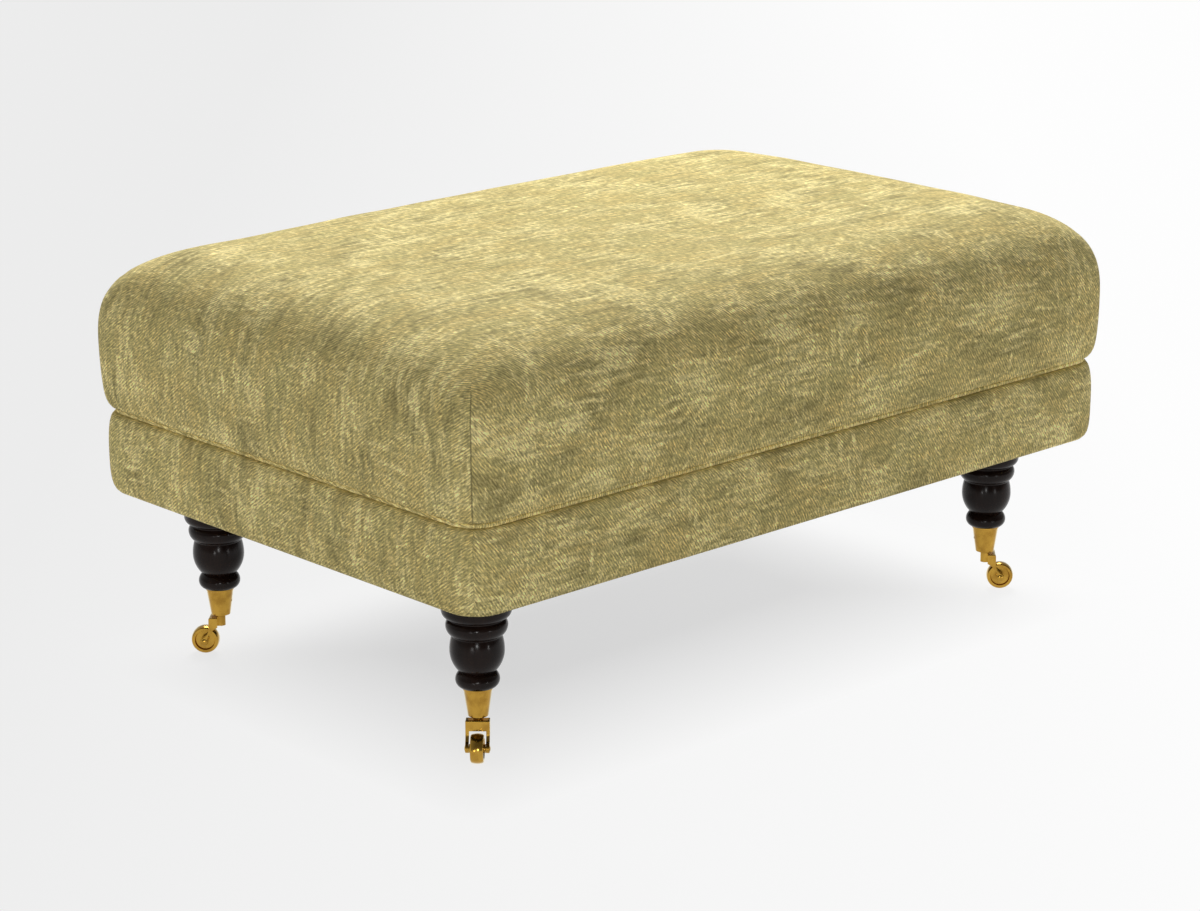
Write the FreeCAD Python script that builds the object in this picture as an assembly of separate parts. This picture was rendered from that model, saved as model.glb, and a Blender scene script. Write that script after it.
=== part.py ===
"""Rectangular upholstered footstool on four turned legs with brass cup castors.

All sizes are millimetres. X runs along the long side, Y from the front to the back
and Z up. The origin is on the floor under the middle of the stool.

From the floor up the stool is: castor wheels in swivelling horns, cups that take
the ends of the turned legs, a doweled timber frame with corner blocks, a padded and
covered border round the frame, and a deep fixed seat of foam, wadding and cover on
woven webbing. A line of piping is sewn in between the border and the seat.
"""

import FreeCAD, Part
import math
import os

from FreeCAD import Vector

# Covered body
border_length = 982.0
border_depth = 650.0
border_height = 89.8
corner_radius = 42.0
border_top_tuck = 11.0
border_bottom_tuck = 13.0
border_waist = 0.42
border_roundness = 3.0
fabric_thickness = 1.6
padding_thickness = 15.0
piping_diameter = 4.8
piping_flange = 10.0
piping_flange_thickness = 0.9
dust_cover_thickness = 1.0
dust_cover_margin = 6.0
hem_clear = 4.0
soft_gap = 0.3

# Seat
seat_height = 178.0
seat_overhang = 5.0
seat_waist = 0.37
seat_side_roundness = 2.6
seat_edge_reach = 150.0
seat_edge_roundness = 3.5
wadding_thickness = 12.0
felt_thickness = 3.0
felt_margin = 2.0

# Frame
rail_thickness = 25.0
rail_height = 80.0
rail_corner_radius = 18.0
centre_rail_drop = 14.0
dowel_diameter = 8.0
dowel_in_long_rail = 19.0
dowel_in_short_rail = 28.0
dowel_spacing = 40.0
dowel_play = 0.05
block_along_length = 114.0
block_along_depth = 123.0
block_square_end = 54.0
block_thickness = 34.0
block_screw_diameter = 4.5
block_screw_length = 60.0
block_screw_height = 11.0
block_screw_step = 12.0
block_screw_from_dowel = 7.0
block_screw_spacing = 50.0
screw_head_diameter = 9.0
screw_play = 0.1

# Webbing
webbing_width = 50.0
webbing_thickness = 1.6
webbing_play = 0.2
webbing_edge = 4.0
long_straps = 4
cross_straps = 7

# Legs
leg_inset_length = 91.0
leg_inset_depth = 101.0
leg_height = 115.5
drum_diameter = 74.0
drum_height = 30.0
drum_round = 8.5
neck_diameter = 58.8
neck_height = 1.4
top_bead_diameter = 65.4
top_bead_height = 17.2
waist_diameter = 53.0
shoulder_height = 1.6
bulb_diameter = 57.8
bulb_upper = 15.6
bulb_lower = 23.4
pinch_diameter = 37.6
foot_bead_diameter = 46.8
foot_bead_upper = 9.0
bolt_diameter = 8.0
bolt_in_leg = 33.0
bolt_tip = 6.0
bolt_above_nut = 3.0
tee_nut_flange_diameter = 22.0
tee_nut_flange = 1.5
tee_nut_barrel_diameter = 11.0
tee_nut_barrel = 11.0
thread_play = 0.05
bolt_hole_play = 0.5

# Castors
wheel_diameter = 32.0
wheel_width = 13.8
wheel_crown = 0.9
wheel_edge_break = 1.0
wheel_rim = 3.6
wheel_recess = 2.6
wheel_hub_diameter = 9.4
wheel_side_gap = 0.3
trail = 18.5
horn_width = 25.6
horn_slot = 18.0
horn_height = 44.5
crown_height = 11.5
crown_inner = 3.0
crown_outer = 12.8
crown_nose = 1.6
arm_flare = 0.3
arm_bend_height = 30.0
arm_front_sweep = 1.5
arm_back_sweep = 3.8
arm_end_radius = 4.8
horn_edge_break = 0.5
hub_diameter = 10.0
axle_diameter = 4.4
axle_head_diameter = 7.0
axle_head = 1.0
axle_play = 0.05
pin_diameter = 5.0
pin_head_diameter = 7.2
pin_head = 1.2
running_play = 0.05
swivel_gap = 0.3
cup_height = 31.5
cup_top_diameter = 31.2
cup_bottom_diameter = 21.8
cup_wall = 1.6
cup_floor = 2.5
cup_rim = 0.7
cup_rim_height = 2.2
cup_boss_diameter = 11.2
cup_boss = 2.0
spigot_play = 0.3
cup_screw_diameter = 3.2
cup_screw_head_diameter = 5.6
cup_screw_length = 10.0
cup_screw_height = 17.0

# Places worked out from the sizes above
axle_z = wheel_diameter / 2
cup_bottom = horn_height + swivel_gap + cup_boss
cup_top = cup_bottom + cup_height
leg_top = cup_top + leg_height
border_bottom = leg_top + dust_cover_thickness
border_top = border_bottom + border_height
seam_z = border_top + soft_gap + piping_diameter / 2
seat_bottom = seam_z + piping_diameter / 2 + soft_gap
seat_top = seat_bottom + seat_height
rail_bottom = border_bottom + fabric_thickness
rail_top = rail_bottom + rail_height
felt_bottom = rail_top + 2 * (webbing_thickness + webbing_play)
foam_bottom = felt_bottom + felt_thickness
block_bottom = border_bottom
block_top = block_bottom + block_thickness
cover_depth = fabric_thickness + soft_gap
frame_half_x = border_length / 2 - cover_depth - padding_thickness
frame_half_y = border_depth / 2 - cover_depth - padding_thickness
inner_half_x = frame_half_x - rail_thickness
inner_half_y = frame_half_y - rail_thickness
seat_half_x = border_length / 2 + seat_overhang
seat_half_y = border_depth / 2 + seat_overhang
leg_x = border_length / 2 - leg_inset_length
leg_y = border_depth / 2 - leg_inset_depth

CORNERS = {
    "front_left": (-1, -1),
    "front_right": (1, -1),
    "back_right": (1, 1),
    "back_left": (-1, 1),
}
NODES = {}


def add(name, *solids):
    """Keeps the solids of one piece, or of one set of like pieces, under its name."""
    NODES[name] = solids[0] if len(solids) == 1 else Part.makeCompound(list(solids))


def block(low, high):
    """A box between two corners."""
    size = [b - a for a, b in zip(low, high)]
    return Part.makeBox(*size, Vector(*low))


def rod(diameter, start, end):
    """A round bar from one point to another."""
    along = Vector(*end) - Vector(*start)
    return Part.makeCylinder(diameter / 2, along.Length, Vector(*start), along)


def prism(points, bottom, top):
    """A flat outline of (x, y) points, raised between two heights."""
    corners = [Vector(x, y, bottom) for x, y in points]
    face = Part.Face(Part.makePolygon(corners + corners[:1]))
    return face.extrude(Vector(0, 0, top - bottom))


def turned(edges):
    """A solid turned about Z from edges in the XZ plane that start and end on the axis."""
    face = Part.Face(Part.Wire(edges))
    return face.revolve(Vector(0, 0, 0), Vector(0, 0, 1), 360)


def line(a, b):
    """A straight edge between two (radius, height) points of a profile."""
    return Part.LineSegment(Vector(a[0], 0, a[1]), Vector(b[0], 0, b[1])).toShape()


def curve(a, via, b):
    """A round edge through three (radius, height) points of a profile."""
    points = [Vector(p[0], 0, p[1]) for p in (a, via, b)]
    return Part.Arc(*points).toShape()


def sagged(a, b, bulge):
    """The point that stands bulge off the middle of a straight line, to its right."""
    across, up = b[0] - a[0], b[1] - a[1]
    length = math.hypot(across, up)
    middle = ((a[0] + b[0]) / 2, (a[1] + b[1]) / 2)
    return (middle[0] + bulge * up / length, middle[1] - bulge * across / length)


def crest_radius(depth, rise):
    """Radius of an arc that falls by depth from its crest over a rise."""
    return (rise * rise + depth * depth) / (2 * depth)


def halfway(crest, end, depth, rise):
    """The middle point of an arc that leaves its crest upright and falls to its end."""
    radius = crest_radius(depth, rise)
    half = math.asin(rise / radius) / 2
    side = 1 if end[1] > crest[1] else -1
    return (
        crest[0] - radius * (1 - math.cos(half)),
        crest[1] + side * radius * math.sin(half),
    )


def quarter_bead(crest, end, outwards=True):
    """A profile edge from a crest to its end, or back, upright at the crest."""
    middle = halfway(crest, end, crest[0] - end[0], abs(end[1] - crest[1]))
    return curve(crest, middle, end) if outwards else curve(end, middle, crest)


def outline(half_x, half_y, radius, z):
    """A level rectangle with round corners, as a closed wire."""
    radius = min(radius, half_x - 1, half_y - 1)
    inner_x, inner_y = half_x - radius, half_y - radius
    slant = radius * math.sqrt(0.5)
    edges = []
    for turn in range(4):
        along, across = (half_x, inner_y) if turn % 2 == 0 else (half_y, inner_x)
        corner_along, corner_across = along - radius, across
        local = [
            (along, -across),
            (along, across),
            (corner_along + slant, corner_across + slant),
            (corner_along, corner_across + radius),
        ]
        c, s = round(math.cos(math.pi / 2 * turn)), round(math.sin(math.pi / 2 * turn))
        a, b, mid, end = [Vector(c * x - s * y, s * x + c * y, z) for x, y in local]
        edges.append(Part.LineSegment(a, b).toShape())
        edges.append(Part.Arc(b, mid, end).toShape())
    return Part.Wire(edges)


def lofted(rings):
    """A solid with straight walls from ring to ring, given as (half x, half y, radius, z)."""
    return Part.makeLoft([outline(*ring) for ring in rings], True, True)


def superellipse(share, roundness):
    """How far a rounded edge has turned in, 0 to 1, at a share of its height."""
    return 1 - (1 - share**roundness) ** (1 / roundness)


def border_form(depth, above=0.0):
    """The border as one solid block, taken in by depth at its sides.

    Its sides are widest a little under halfway up and turn in as a superellipse to
    the top and bottom. The block can stand above its top edge by a given height."""
    height = border_top - border_bottom
    middle = border_bottom + border_waist * height
    rings = []
    for share in (-1.0, -0.98, -0.92, -0.8, -0.6, -0.3, 0.0, 0.3, 0.6, 0.8, 0.92, 0.98, 1.0):
        tuck = border_top_tuck if share > 0 else border_bottom_tuck
        reach = border_top - middle if share > 0 else middle - border_bottom
        taken = depth + tuck * superellipse(abs(share), border_roundness)
        radius = max(corner_radius - taken, rail_corner_radius / 2)
        ring = (border_length / 2 - taken, border_depth / 2 - taken, radius)
        rings.append((*ring, middle + share * reach))
    if above > 0:
        rings.append((*ring, border_top + above))
    return lofted(rings)


def seat_form(depth, bottom):
    """The seat as one solid block, taken in by depth at its sides and top.

    The sides swell to their widest a little under halfway up. Over that the edge
    turns in as a superellipse to the top, and the rings keep their plan outline."""
    middle = seat_bottom + seat_waist * seat_height
    tuck = seat_overhang + border_top_tuck
    rings = []
    for share in (1.0, 0.98, 0.92, 0.82, 0.65, 0.4, 0.0):
        taken = depth + tuck * superellipse(share, seat_side_roundness)
        z = middle - share * (middle - seat_bottom)
        rings.append((seat_half_x - taken, seat_half_y - taken, corner_radius - depth, z))
    rise = seat_top - depth - middle
    core_x = seat_half_x - depth - seat_edge_reach
    core_y = seat_half_y - depth - seat_edge_reach
    power = 2 / seat_edge_roundness
    for degrees in (4, 9, 15, 22, 30, 38, 46, 54, 62, 69, 75, 80, 84, 87):
        out = math.cos(math.radians(degrees)) ** power
        up = math.sin(math.radians(degrees)) ** power
        reach = seat_edge_reach * out
        radius = (corner_radius - depth) * out
        rings.append((core_x + reach, core_y + reach, radius, middle + rise * up))
    form = lofted(rings)
    if bottom < seat_bottom:
        half_x, half_y, radius, z = rings[0]
        skirt = Part.Face(outline(half_x, half_y, radius, bottom))
        form = form.fuse(skirt.extrude(Vector(0, 0, z - bottom))).removeSplitter()
    return form


def leg_centres():
    """The four leg axes, with the name of each corner."""
    return {name: (sx * leg_x, sy * leg_y) for name, (sx, sy) in CORNERS.items()}


def at_legs(shape):
    """A copy of a shape, made about the Z axis, at each leg."""
    return [shape.translated(Vector(x, y, 0)) for x, y in leg_centres().values()]


def mirrored(shape, sx, sy):
    """A shape from the right back quarter, mirrored to another quarter."""
    if sx < 0:
        shape = shape.mirror(Vector(0, 0, 0), Vector(1, 0, 0))
    if sy < 0:
        shape = shape.mirror(Vector(0, 0, 0), Vector(0, 1, 0))
    return shape


def dowel_heights(top):
    """The heights of the two dowels in the end of a rail with that top."""
    middle = (rail_bottom + top) / 2
    return middle - dowel_spacing / 2, middle + dowel_spacing / 2


def dowels(play):
    """The dowels between the long rails and the rails that butt against them."""
    found = []
    short_x = frame_half_x - rail_thickness / 2
    rails = ((-short_x, rail_top), (short_x, rail_top), (0, rail_top - centre_rail_drop))
    for x, top in rails:
        for side in (-1, 1):
            inner = side * (inner_half_y - dowel_in_short_rail - play)
            outer = side * (inner_half_y + dowel_in_long_rail + play)
            for z in dowel_heights(top):
                found.append(rod(dowel_diameter + 2 * play, (x, inner, z), (x, outer, z)))
    return found


def countersunk_screw(diameter, head_diameter, length, play):
    """A screw along +Z with its flat head at the origin and a pointed end."""
    radius, head = diameter / 2 + play, head_diameter / 2 + play
    sink = head - radius
    tip = diameter
    edges = [
        line((0, 0), (head, 0)),
        line((head, 0), (radius, sink)),
        line((radius, sink), (radius, length - tip)),
        line((radius, length - tip), (0, length + play)),
        line((0, length + play), (0, 0)),
    ]
    return turned(edges)


def aimed(shape, start, direction):
    """A shape made along +Z, turned to a level or upright direction and moved."""
    turn = FreeCAD.Rotation(Vector(0, 0, 1), Vector(*direction))
    placed = shape.copy()
    placed.Placement = FreeCAD.Placement(Vector(*start), turn)
    return placed


def block_screws(play):
    """The screws driven through the rails into the corner blocks."""
    screw = countersunk_screw(
        block_screw_diameter, screw_head_diameter, block_screw_length, play
    )
    low = block_bottom + block_screw_height
    first = dowel_in_short_rail + block_screw_from_dowel
    found = []
    for sx, sy in CORNERS.values():
        for inward in (first, first + block_screw_spacing):
            x = sx * (inner_half_x - inward)
            y = sy * (inner_half_y - inward)
            found.append(aimed(screw, (x, sy * frame_half_y, low), (0, -sy, 0)))
            start = (sx * frame_half_x, y, low + block_screw_step)
            found.append(aimed(screw, start, (-sx, 0, 0)))
    return found


def frame():
    """The doweled frame: two long rails, two short ones and a dropped centre rail."""
    holes = Part.makeCompound(dowels(dowel_play) + block_screws(screw_play))
    outer = Part.Face(outline(frame_half_x, frame_half_y, rail_corner_radius, rail_bottom))
    plan = outer.extrude(Vector(0, 0, rail_height))
    for name, side in (("front_rail", -1), ("back_rail", 1)):
        ys = sorted((side * inner_half_y, side * frame_half_y))
        low = (-frame_half_x, ys[0], rail_bottom)
        high = (frame_half_x, ys[1], rail_top)
        add(name, block(low, high).common(plan).cut(holes))
    for name, side in (("left_rail", -1), ("right_rail", 1)):
        xs = sorted((side * inner_half_x, side * frame_half_x))
        low = (xs[0], -inner_half_y, rail_bottom)
        high = (xs[1], inner_half_y, rail_top)
        add(name, block(low, high).cut(holes))
    half = rail_thickness / 2
    low = (-half, -inner_half_y, rail_bottom)
    high = (half, inner_half_y, rail_top - centre_rail_drop)
    add("centre_rail", block(low, high).cut(holes))
    add("rail_dowels", *dowels(0))


def corner_blocks():
    """Blocks that fill the frame's corners and take the legs, with their fixings."""
    end_x = inner_half_x - block_along_length
    end_y = inner_half_y - block_along_depth
    points = [
        (inner_half_x, inner_half_y),
        (end_x, inner_half_y),
        (end_x, inner_half_y - block_square_end),
        (inner_half_x - block_square_end, end_y),
        (inner_half_x, end_y),
    ]
    hole = rod(bolt_diameter + 2 * bolt_hole_play, (0, 0, 0), (0, 0, block_top))
    seat_depth = tee_nut_barrel + soft_gap
    barrel_hole = rod(
        tee_nut_barrel_diameter + 2 * thread_play,
        (0, 0, block_top - seat_depth),
        (0, 0, block_top),
    )
    bores = Part.makeCompound(at_legs(hole) + at_legs(barrel_hole))
    screw_holes = Part.makeCompound(block_screws(screw_play))
    plain = prism(points, block_bottom, block_top)
    blocks = [mirrored(plain, sx, sy) for sx, sy in CORNERS.values()]
    add("corner_blocks", *[b.cut(bores).cut(screw_holes) for b in blocks])
    add("block_screws", *block_screws(0))
    flange_top = block_top + tee_nut_flange
    nut = rod(tee_nut_flange_diameter, (0, 0, block_top), (0, 0, flange_top))
    nut = nut.fuse(
        rod(tee_nut_barrel_diameter, (0, 0, block_top - tee_nut_barrel), (0, 0, block_top))
    ).removeSplitter()
    thread = rod(
        bolt_diameter + 2 * thread_play,
        (0, 0, block_top - seat_depth),
        (0, 0, flange_top + 1),
    )
    add("tee_nuts", *at_legs(nut.cut(thread)))


def hanger_bolt(play):
    """The double-ended bolt that joins a leg to its block, about the Z axis."""
    radius = bolt_diameter / 2 + play
    bottom = leg_top - bolt_in_leg - play
    top = block_top + tee_nut_flange + bolt_above_nut
    edges = [
        line((0, bottom), (radius, bottom + bolt_tip)),
        line((radius, bottom + bolt_tip), (radius, top)),
        line((radius, top), (0, top)),
        line((0, top), (0, bottom)),
    ]
    return turned(edges)


def strap_profile(length, crossings, over):
    """The edge view of a strap that weaves over and under those that cross it.

    crossings are places along the strap, and over says which are gone over. The
    points are (place along, height over the rails) of its lower face, then its
    upper face back again."""
    step = webbing_thickness + webbing_play
    flat = webbing_width / 2 + webbing_edge
    lower = [(-length / 2, 0)]
    for place, is_over in zip(crossings, over):
        height = step if is_over else 0
        lower.append((place - flat, height))
        lower.append((place + flat, height))
    lower.append((length / 2, 0))
    upper = [(along, height + webbing_thickness) for along, height in reversed(lower)]
    return lower + upper


def webbing():
    """Straps woven into each other across the top of the frame."""
    rows = [
        (i - (long_straps - 1) / 2) * 2 * inner_half_y / long_straps
        for i in range(long_straps)
    ]
    columns = [
        (i - (cross_straps - 1) / 2) * 2 * inner_half_x / cross_straps
        for i in range(cross_straps)
    ]
    half = webbing_width / 2
    length = 2 * (frame_half_x - webbing_edge)
    along = []
    for i, y in enumerate(rows):
        over = [(i + j) % 2 == 0 for j in range(cross_straps)]
        points = strap_profile(length, columns, over)
        corners = [Vector(x, y - half, rail_top + z) for x, z in points]
        face = Part.Face(Part.makePolygon(corners + corners[:1]))
        along.append(face.extrude(Vector(0, webbing_width, 0)))
    add("lengthways_webbing", *along)
    length = 2 * (frame_half_y - webbing_edge)
    across = []
    for j, x in enumerate(columns):
        over = [(i + j) % 2 == 1 for i in range(long_straps)]
        points = strap_profile(length, rows, over)
        corners = [Vector(x - half, y, rail_top + z) for y, z in points]
        face = Part.Face(Part.makePolygon(corners + corners[:1]))
        across.append(face.extrude(Vector(webbing_width, 0, 0)))
    add("crossways_webbing", *across)
    felt = outline(
        frame_half_x - felt_margin,
        frame_half_y - felt_margin,
        rail_corner_radius - felt_margin,
        felt_bottom,
    )
    add("platform_felt", Part.Face(felt).extrude(Vector(0, 0, felt_thickness)))


def border():
    """The border round the frame: mitred padding strips and the fabric over them."""
    inside = border_form(cover_depth)
    hole = outline(
        frame_half_x, frame_half_y, rail_corner_radius - soft_gap, border_bottom - 1
    )
    hollow = Part.Face(hole).extrude(Vector(0, 0, border_height + 2))
    top = border_top - cover_depth
    slab = block(
        (-border_length, -border_depth, rail_bottom), (border_length, border_depth, top)
    )
    ring = inside.cut(hollow).common(slab)
    near_x, near_y = inner_half_x, inner_half_y
    far = 2 * rail_thickness + padding_thickness
    strips = []
    for turn in (0, 1):
        ax, ay = (near_x, near_y) if turn == 0 else (near_y, near_x)
        for side in (-1, 1):
            points = [
                (-ax, side * ay),
                (ax, side * ay),
                (ax + far, side * (ay + far)),
                (-ax - far, side * (ay + far)),
            ]
            if turn == 1:
                points = [(y, x) for x, y in points]
            strips.append(ring.common(prism(points, rail_bottom - 1, border_top)))
    add("border_padding", *strips)

    turned_under = outline(
        inner_half_x + hem_clear, inner_half_y + hem_clear, hem_clear, border_bottom - 1
    )
    opening = Part.Face(turned_under).extrude(Vector(0, 0, border_height))
    room = block(
        (-border_length, -border_depth, rail_bottom),
        (border_length, border_depth, border_top + fabric_thickness),
    )
    cavity = border_form(fabric_thickness, fabric_thickness).common(room)
    add("border_cover", border_form(0).cut(cavity).cut(opening))

    sheet = outline(
        border_length / 2 - border_bottom_tuck - dust_cover_margin,
        border_depth / 2 - border_bottom_tuck - dust_cover_margin,
        rail_corner_radius,
        leg_top,
    )
    sheet = Part.Face(sheet).extrude(Vector(0, 0, dust_cover_thickness))
    hole = rod(bolt_diameter + 2 * bolt_hole_play, (0, 0, 0), (0, 0, border_bottom + 1))
    add("dust_cover", sheet.cut(Part.makeCompound(at_legs(hole))))


def piping():
    """The covered cord sewn in round the stool, with the flange that is sewn down."""
    half_x = border_length / 2 - border_top_tuck
    half_y = border_depth / 2 - border_top_tuck
    radius = corner_radius - border_top_tuck
    path = outline(half_x, half_y, radius, seam_z)
    start = Vector(half_x, -(half_y - radius), seam_z)
    section = Part.Wire(
        Part.makeCircle(piping_diameter / 2, start, Vector(0, 1, 0))
    )
    cord = path.makePipeShell([section], True, False)
    bottom = seam_z - piping_flange_thickness / 2
    plates = [
        Part.Face(outline(half_x - inset, half_y - inset, radius - inset, bottom)).extrude(
            Vector(0, 0, piping_flange_thickness)
        )
        for inset in (0, piping_flange)
    ]
    flange = plates[0].cut(plates[1])
    add("seam_piping", cord.fuse(flange))


def seat():
    """The seat: a foam core in wadding, under the fitted cover."""
    cover_inside = seat_form(fabric_thickness, seat_bottom - 1)
    add("seat_cover", seat_form(0, seat_bottom).cut(cover_inside))
    wadding_inside = seat_form(cover_depth + wadding_thickness, seat_bottom - 1)
    add("seat_wadding", seat_form(cover_depth, seat_bottom).cut(wadding_inside))
    foam_depth = cover_depth + wadding_thickness + soft_gap
    add("seat_foam", seat_form(foam_depth, foam_bottom))


def cup_radius(z, wall):
    """The cup's outside radius at a height, less a wall."""
    share = (z - cup_bottom) / cup_height
    spread = (cup_top_diameter - cup_bottom_diameter) / 2
    return cup_bottom_diameter / 2 + spread * share - wall


def leg():
    """A turned leg about the Z axis, from its drum down to the end in the cup."""
    drum_end = leg_top - drum_height
    neck_top = drum_end - drum_round
    bead_top = neck_top - neck_height
    bead_end = bead_top - top_bead_height
    shoulder = bead_end - shoulder_height
    crest = shoulder - bulb_upper
    pinch = crest - bulb_lower
    foot_crest = pinch - foot_bead_upper
    bead_crest = (bead_top + bead_end) / 2 + top_bead_height * 0.1
    rim = cup_top_diameter / 2 + cup_rim
    spigot_top = cup_radius(cup_top, cup_wall + spigot_play)
    spigot_bottom = cup_bottom + cup_floor + pin_head + 2 * soft_gap
    drum, neck, waist = drum_diameter / 2, neck_diameter / 2, waist_diameter / 2
    bead, bulb = top_bead_diameter / 2, bulb_diameter / 2
    tie, foot = pinch_diameter / 2, foot_bead_diameter / 2
    edges = [
        line((0, leg_top), (drum, leg_top)),
        line((drum, leg_top), (drum, drum_end)),
        quarter_bead((drum, drum_end), (neck, neck_top)),
        line((neck, neck_top), (neck, bead_top)),
        quarter_bead((bead, bead_crest), (neck, bead_top), False),
        quarter_bead((bead, bead_crest), (waist + 1, bead_end)),
        line((waist + 1, bead_end), (waist, shoulder)),
        quarter_bead((bulb, crest), (waist, shoulder), False),
        quarter_bead((bulb, crest), (tie, pinch)),
        quarter_bead((foot, foot_crest), (tie, pinch), False),
        quarter_bead((foot, foot_crest), (rim, cup_top)),
        line((rim, cup_top), (spigot_top, cup_top)),
        line(
            (spigot_top, cup_top),
            (cup_radius(spigot_bottom, cup_wall + spigot_play), spigot_bottom),
        ),
        line(
            (cup_radius(spigot_bottom, cup_wall + spigot_play), spigot_bottom),
            (0, spigot_bottom),
        ),
        line((0, spigot_bottom), (0, leg_top)),
    ]
    return turned(edges).cut(hanger_bolt(thread_play))


def cup_screw(play):
    """The screw through a castor cup into its leg, on the side away from the trail."""
    z = cup_bottom + cup_screw_height
    screw = countersunk_screw(
        cup_screw_diameter, cup_screw_head_diameter, cup_screw_length, play
    )
    return aimed(screw, (-cup_radius(z, 0), 0, z), (1, 0, 0))


def cup():
    """A castor cup about the Z axis: tapered socket, rolled rim and swivel boss."""
    foot, boss = cup_bottom_diameter / 2, cup_boss_diameter / 2
    boss_bottom = cup_bottom - cup_boss
    floor = cup_bottom + cup_floor
    rim_bottom = cup_top - cup_rim_height
    side = cup_radius(rim_bottom, 0)
    rim = cup_top_diameter / 2 + cup_rim
    bore = cup_radius(cup_top, cup_wall)
    edges = [
        line((0, boss_bottom), (boss, boss_bottom)),
        line((boss, boss_bottom), (boss, cup_bottom)),
        line((boss, cup_bottom), (foot, cup_bottom)),
        line((foot, cup_bottom), (side, rim_bottom)),
        line((side, rim_bottom), (rim, rim_bottom + cup_rim)),
        line((rim, rim_bottom + cup_rim), (rim, cup_top)),
        line((rim, cup_top), (bore, cup_top)),
        line((bore, cup_top), (cup_radius(floor, cup_wall), floor)),
        line((cup_radius(floor, cup_wall), floor), (0, floor)),
        line((0, floor), (0, boss_bottom)),
    ]
    pin_hole = rod(pin_diameter, (0, 0, boss_bottom - 1), (0, 0, floor + 1))
    return turned(edges).cut(pin_hole).cut(cup_screw(screw_play))


def domed(radius, foot, rise):
    """A profile edge from a point at that radius to the axis, as part of a sphere."""
    ball = crest_radius(abs(rise), radius)
    half = math.asin(radius / ball) / 2
    side = 1 if rise > 0 else -1
    centre = foot + rise - side * ball
    middle = (ball * math.sin(half), centre + side * ball * math.cos(half))
    return curve((radius, foot), middle, (0, foot + rise))


def swivel_pin():
    """The rivet that holds the horn under its cup, with a head at each end."""
    floor = cup_bottom + cup_floor
    hub_bottom = horn_height - crown_height
    pin_radius, head = pin_diameter / 2, pin_head_diameter / 2
    low = hub_bottom - swivel_gap
    edges = [
        line((0, floor + pin_head), (head, floor + pin_head)),
        line((head, floor + pin_head), (head, floor)),
        line((head, floor), (pin_radius, floor)),
        line((pin_radius, floor), (pin_radius, low)),
        line((pin_radius, low), (head, low)),
        domed(head, low, -pin_head),
        line((0, low - pin_head), (0, floor + pin_head)),
    ]
    return turned(edges)


def horn():
    """The swivelling horn, with its pivot on the Z axis and its arms swept along +X.

    The side view is one profile: a square crown over the wheel, then arms that drop
    straight and sweep out to round ends on the axle. A slot below the crown parts the
    arms, and a small round hub behind the crown carries the pivot."""
    crown_bottom = horn_height - crown_height
    corner = crown_nose * (1 - math.sqrt(0.5))

    def on_end(degrees):
        angle = math.radians(degrees)
        return (
            trail + arm_end_radius * math.cos(angle),
            axle_z + arm_end_radius * math.sin(angle),
        )

    outer_end, tip, inner_end = on_end(62), on_end(-30), on_end(-125)
    bend = (crown_outer + arm_flare, arm_bend_height)
    back = (crown_inner, crown_bottom)
    edges = [
        line((crown_inner, horn_height), (crown_outer - crown_nose, horn_height)),
        curve(
            (crown_outer - crown_nose, horn_height),
            (crown_outer - corner, horn_height - corner),
            (crown_outer, horn_height - crown_nose),
        ),
        line((crown_outer, horn_height - crown_nose), bend),
        curve(bend, sagged(bend, outer_end, arm_front_sweep), outer_end),
        curve(outer_end, tip, inner_end),
        curve(inner_end, sagged(inner_end, back, arm_back_sweep), back),
        line(back, (crown_inner, horn_height)),
    ]
    face = Part.Face(Part.Wire(edges))
    face.translate(Vector(0, -horn_width / 2, 0))
    body = face.extrude(Vector(0, horn_width, 0))
    sides = [
        edge
        for edge in body.Edges
        if edge.BoundBox.YLength < 0.01 and edge.BoundBox.XMax > crown_inner + 0.01
    ]
    body = body.makeChamfer(horn_edge_break, sides)
    reach = trail + wheel_diameter
    slot = block((-reach, -horn_slot / 2, -1), (reach, horn_slot / 2, crown_bottom))
    body = body.cut(slot)
    hub = rod(hub_diameter, (0, 0, crown_bottom), (0, 0, horn_height))
    web = block(
        (0, -hub_diameter / 2, crown_bottom),
        (crown_inner, hub_diameter / 2, horn_height),
    )
    body = body.fuse([hub, web]).removeSplitter()
    pivot = rod(pin_diameter + 2 * running_play, (0, 0, 0), (0, 0, horn_height + 1))
    bore = rod(
        axle_diameter + 2 * running_play,
        (trail, -horn_width, axle_z),
        (trail, horn_width, axle_z),
    )
    return body.cut(pivot).cut(bore)


def axle():
    """The riveted axle across the arms, with a shallow domed head at each end."""
    radius, head = axle_diameter / 2, axle_head_diameter / 2
    side = horn_width / 2 + axle_play
    edges = [
        domed(head, side, axle_head),
        line((head, side), (radius, side)),
        line((radius, side), (radius, -side)),
        line((radius, -side), (head, -side)),
        domed(head, -side, -axle_head),
        line((0, -side - axle_head), (0, side + axle_head)),
    ]
    return aimed(turned(edges), (trail, 0, axle_z), (0, 1, 0))


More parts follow.
